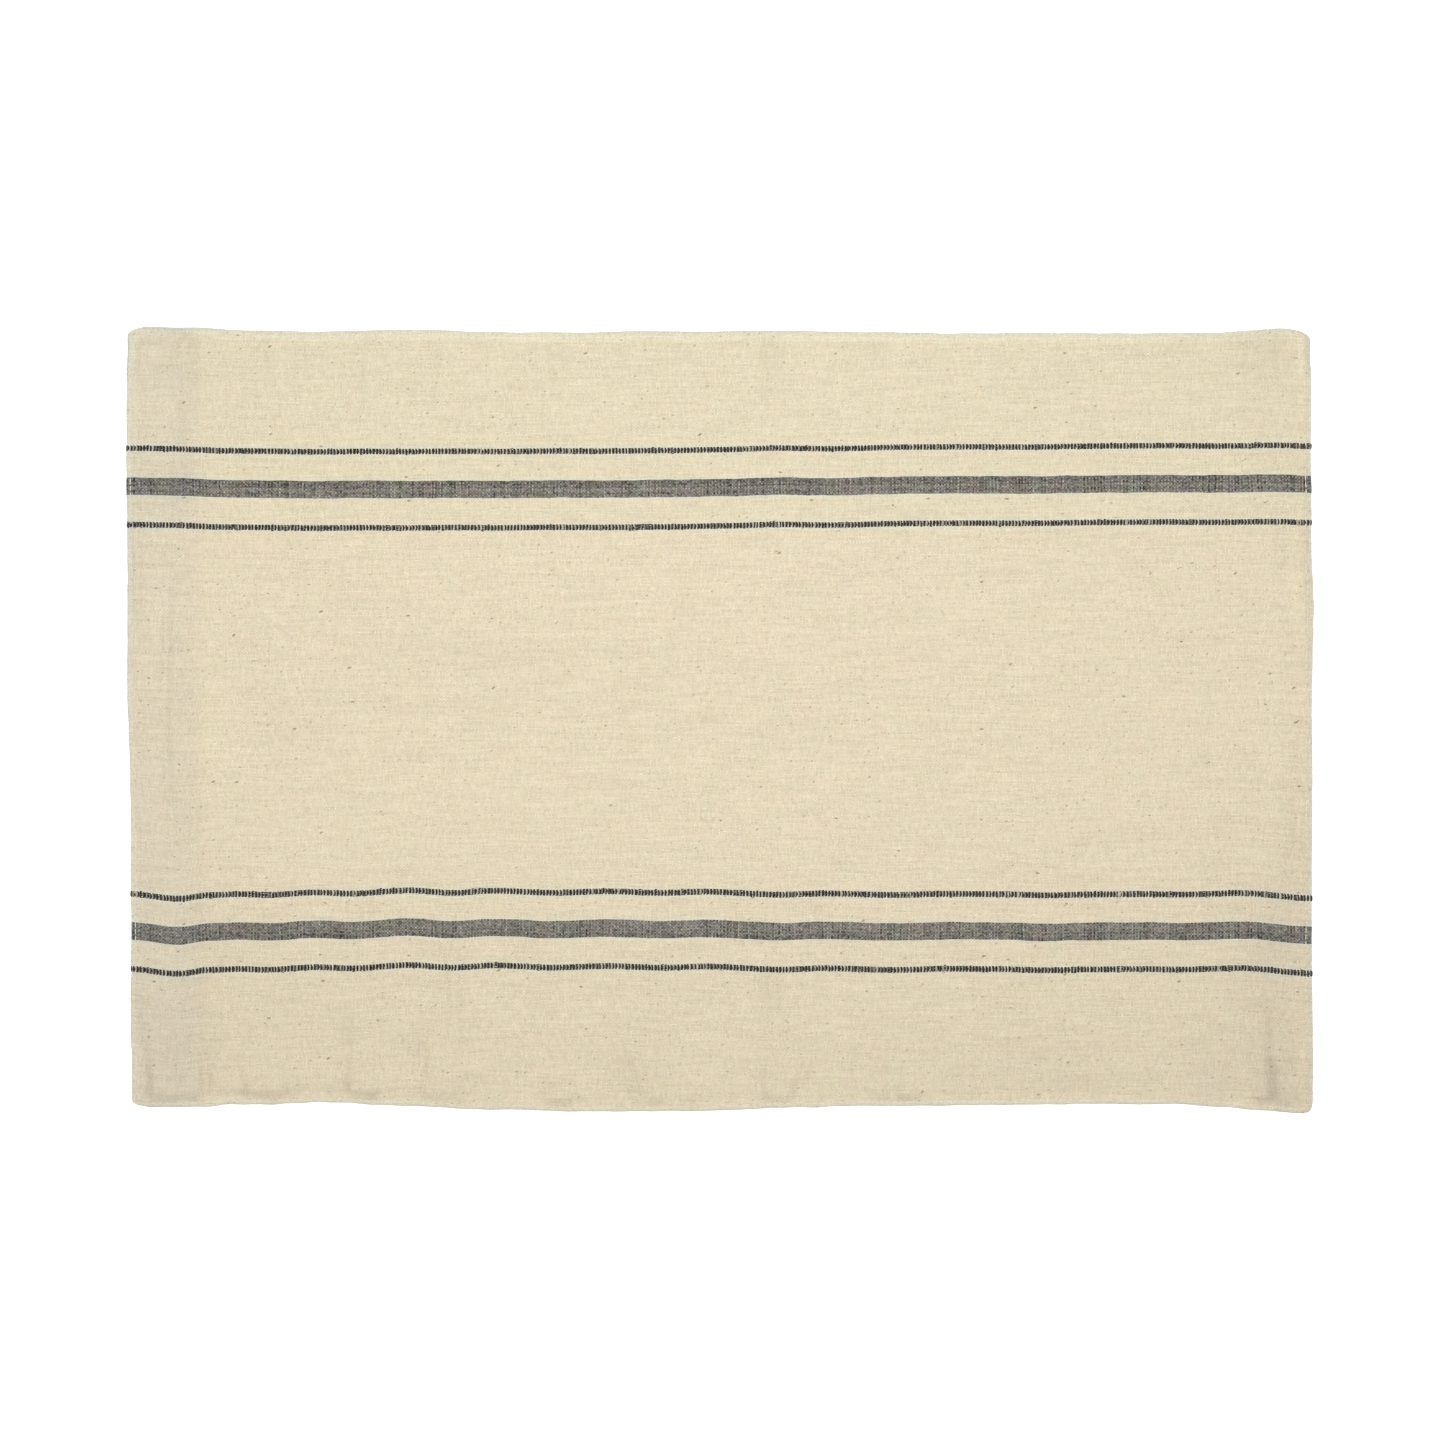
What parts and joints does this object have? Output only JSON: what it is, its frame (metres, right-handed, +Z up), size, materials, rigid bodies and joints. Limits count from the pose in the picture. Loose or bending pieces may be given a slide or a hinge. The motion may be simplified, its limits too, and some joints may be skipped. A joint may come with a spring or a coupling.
{
  "type": "placemat",
  "caption": "Rectangular woven cotton placemat lying flat, sewn round its edge, with woven charcoal stripes along both long sides.",
  "frame": {"origin": "middle of the mat's outline, on the surface that it lies on", "axes": "+X along the long side, +Y along the short side towards the far edge, +Z up out of the face"},
  "size_m": [0.4568, 0.3028, 0.0028],
  "materials": {
    "natural_cotton": "matt unbleached plain weave cotton, cream with small dark flecks and charcoal weft stripes",
    "charcoal_yarn": "matt near-black cotton yarn, woven in as corded stripes",
    "sewing_thread": "cream cotton sewing thread, slightly smoother than the cloth"
  },
  "bodies": {
    "root": {"placemat_cloth": "natural_cotton"}
  },
  "joints": []
}
